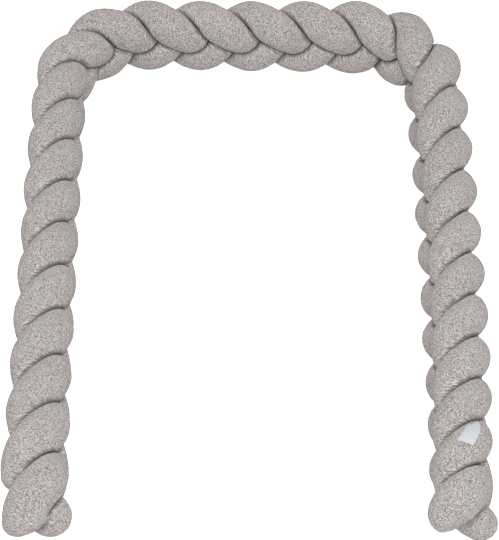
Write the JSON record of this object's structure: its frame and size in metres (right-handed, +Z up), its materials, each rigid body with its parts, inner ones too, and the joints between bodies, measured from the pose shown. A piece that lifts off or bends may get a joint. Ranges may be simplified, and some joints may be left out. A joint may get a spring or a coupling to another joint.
{
  "type": "braided crib bumper",
  "caption": "Stuffed pile-cloth braid that stands on its edge in a U, to pad the head end and both sides inside a cot.",
  "frame": {"origin": "middle of the whole outline on the floor plan, at the level of the surface the braid stands on", "axes": "+Z up, +Y towards the bar that joins the two legs, +X to the right when looking from the open side towards the bar"},
  "size_m": [0.8926, 1.2923, 0.1577],
  "materials": {
    "pile_1": "short looped pile, warm light grey",
    "pile_2": "short looped pile, warm light grey",
    "pile_3": "short looped pile, warm light grey",
    "label_tape": "smooth white satin tape, bare"
  },
  "bodies": {
    "root": {"strand_1": "pile_1", "strand_2": "pile_2", "strand_3": "pile_3", "label": "label_tape"}
  },
  "joints": []
}
